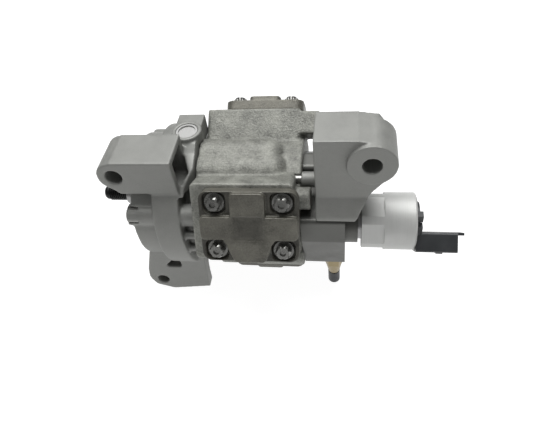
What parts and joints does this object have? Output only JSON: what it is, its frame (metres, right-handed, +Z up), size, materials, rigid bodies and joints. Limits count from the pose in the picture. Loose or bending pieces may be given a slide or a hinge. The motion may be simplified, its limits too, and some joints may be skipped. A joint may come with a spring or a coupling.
{
  "type": "radial piston fuel pump",
  "caption": "Shaft-driven radial piston fuel pump with bolted cylinder heads, cast mounting ears, a rear support arm, a solenoid metering valve and a pin connector.",
  "frame": {"origin": "on the drive shaft's axis, at the large end of its taper", "axes": "+X along the shaft from the drive end to the solenoid, +Y to the rear side of the pump, +Z up"},
  "size_m": [0.2506, 0.133, 0.1516],
  "materials": {
    "housing_iron": "phosphated sand casting, satin",
    "head_iron": "phosphated, satin, slightly warm",
    "screw_steel": "zinc phosphated steel",
    "barrel_steel": "ground steel",
    "bright_steel": "plated steel",
    "spring_steel": "oiled spring steel",
    "shaft_steel": "ground steel, black thread",
    "bush_bronze": "sintered bronze",
    "seal_rubber": "matt",
    "flange_aluminium": "blasted die casting",
    "bracket_aluminium": "blasted die casting",
    "plug_steel": "pressed, satin",
    "cover_iron": "phosphated, machined facets",
    "can_aluminium": "turned and milled, satin",
    "winding": "enamelled winding on a bobbin",
    "connector_plastic": "moulded, fine grain",
    "pin_brass": "tinned",
    "fitting_brass": "turned",
    "cap_plastic": "moulded"
  },
  "bodies": {
    "housing": {"pump_housing": "housing_iron", "front_flange": "flange_aluminium", "core_plug": "plug_steel", "flange_screws": "screw_steel", "flange_seal": "seal_rubber", "shaft_seal": "seal_rubber", "front_bush": "bush_bronze", "rear_bush": "bush_bronze", "rear_cover": "cover_iron", "rear_cover_screws": "screw_steel", "rear_bracket": "bracket_aluminium", "bracket_screws": "screw_steel", "valve_cartridge": "bright_steel", "valve_seal": "seal_rubber", "solenoid_can": "can_aluminium", "solenoid_coil": "winding", "armature_spring": "spring_steel", "connector": "connector_plastic", "connector_pins": "pin_brass", "return_fitting": "fitting_brass", "fitting_cap": "cap_plastic", "inlet_nipple": "bright_steel", "outlet_union": "bright_steel", "head_seals": "seal_rubber", "head_front": "head_iron", "head_screws_front": "screw_steel", "barrel_front": "barrel_steel", "delivery_spring_front": "spring_steel", "piston_spring_front": "spring_steel", "head_rear": "head_iron", "head_screws_rear": "screw_steel", "barrel_rear": "barrel_steel", "delivery_spring_rear": "spring_steel", "piston_spring_rear": "spring_steel", "head_lower": "head_iron", "head_screws_lower": "screw_steel", "barrel_lower": "barrel_steel", "delivery_spring_lower": "spring_steel", "piston_spring_lower": "spring_steel"},
    "shaft": {"drive_shaft": "shaft_steel", "shaft_key": "bright_steel", "inner_rotor": "barrel_steel"},
    "cam": {"cam_ring": "barrel_steel", "cam_bush": "bush_bronze"},
    "stroke_link": {"stroke_link": "bright_steel"},
    "outer_rotor": {"outer_rotor": "barrel_steel"},
    "armature": {"armature": "bright_steel"},
    "piston_front": {"piston_front": "barrel_steel", "spring_seat_front": "bright_steel"},
    "delivery_ball_front": {"delivery_ball_front": "bright_steel"},
    "piston_rear": {"piston_rear": "barrel_steel", "spring_seat_rear": "bright_steel"},
    "delivery_ball_rear": {"delivery_ball_rear": "bright_steel"},
    "piston_lower": {"piston_lower": "barrel_steel", "spring_seat_lower": "bright_steel"},
    "delivery_ball_lower": {"delivery_ball_lower": "bright_steel"}
  },
  "joints": [
    {"name": "shaft_spin", "type": "hinge", "parent": "housing", "child": "shaft", "pos_m": [0, 0, 0], "axis": [1, 0, 0], "continuous": true},
    {"name": "cam_orbit", "type": "hinge", "parent": "shaft", "child": "cam", "pos_m": [0.084, 0, 0.003], "axis": [1, 0, 0], "continuous": true},
    {"name": "stroke_link_spin", "type": "hinge", "parent": "shaft", "child": "stroke_link", "pos_m": [0.122, 0, 0.0015], "axis": [1, 0, 0], "continuous": true},
    {"name": "outer_rotor_spin", "type": "hinge", "parent": "housing", "child": "outer_rotor", "pos_m": [0.118, -0.0016, 0], "axis": [1, 0, 0], "continuous": true},
    {"name": "armature_slide", "type": "slide", "parent": "housing", "child": "armature", "axis": [1, 0, 0], "range_m": [0, 0.0006], "stiffness_N_per_m": 1500, "springref_m": -0.003, "deforming": ["armature_spring"]},
    {"name": "piston_front_stroke", "type": "hinge", "parent": "stroke_link", "child": "piston_front", "pos_m": [0.084, -0.00118, 0.00058], "axis": [1, 0, 0], "continuous": true, "deforming": ["piston_spring_front"]},
    {"name": "delivery_ball_front_lift", "type": "slide", "parent": "housing", "child": "delivery_ball_front", "axis": [0, -0.8988, 0.4384], "range_m": [0, 0.0008], "stiffness_N_per_m": 800, "springref_m": -0.002, "deforming": ["delivery_spring_front"]},
    {"name": "piston_rear_stroke", "type": "hinge", "parent": "stroke_link", "child": "piston_rear", "pos_m": [0.084, 0.00139, 0.00094], "axis": [1, 0, 0], "continuous": true, "deforming": ["piston_spring_rear"]},
    {"name": "delivery_ball_rear_lift", "type": "slide", "parent": "housing", "child": "delivery_ball_rear", "axis": [0, 0.829, 0.5592], "range_m": [0, 0.0008], "stiffness_N_per_m": 800, "springref_m": -0.002, "deforming": ["delivery_spring_rear"]},
    {"name": "piston_lower_stroke", "type": "hinge", "parent": "stroke_link", "child": "piston_lower", "pos_m": [0.084, -0.00021, 0.00298], "axis": [1, 0, 0], "continuous": true, "deforming": ["piston_spring_lower"]},
    {"name": "delivery_ball_lower_lift", "type": "slide", "parent": "housing", "child": "delivery_ball_lower", "axis": [0, 0.0698, -0.9976], "range_m": [0, 0.0008], "stiffness_N_per_m": 800, "springref_m": -0.002, "deforming": ["delivery_spring_lower"]}
  ],
  "couplings": [
    {"joint": "cam_orbit", "follows": "shaft_spin", "ratio": -1},
    {"joint": "stroke_link_spin", "follows": "shaft_spin", "ratio": -2},
    {"joint": "outer_rotor_spin", "follows": "shaft_spin", "ratio": 0.8},
    {"joint": "piston_front_stroke", "follows": "shaft_spin", "ratio": 1},
    {"joint": "piston_rear_stroke", "follows": "shaft_spin", "ratio": 1},
    {"joint": "piston_lower_stroke", "follows": "shaft_spin", "ratio": 1}
  ]
}
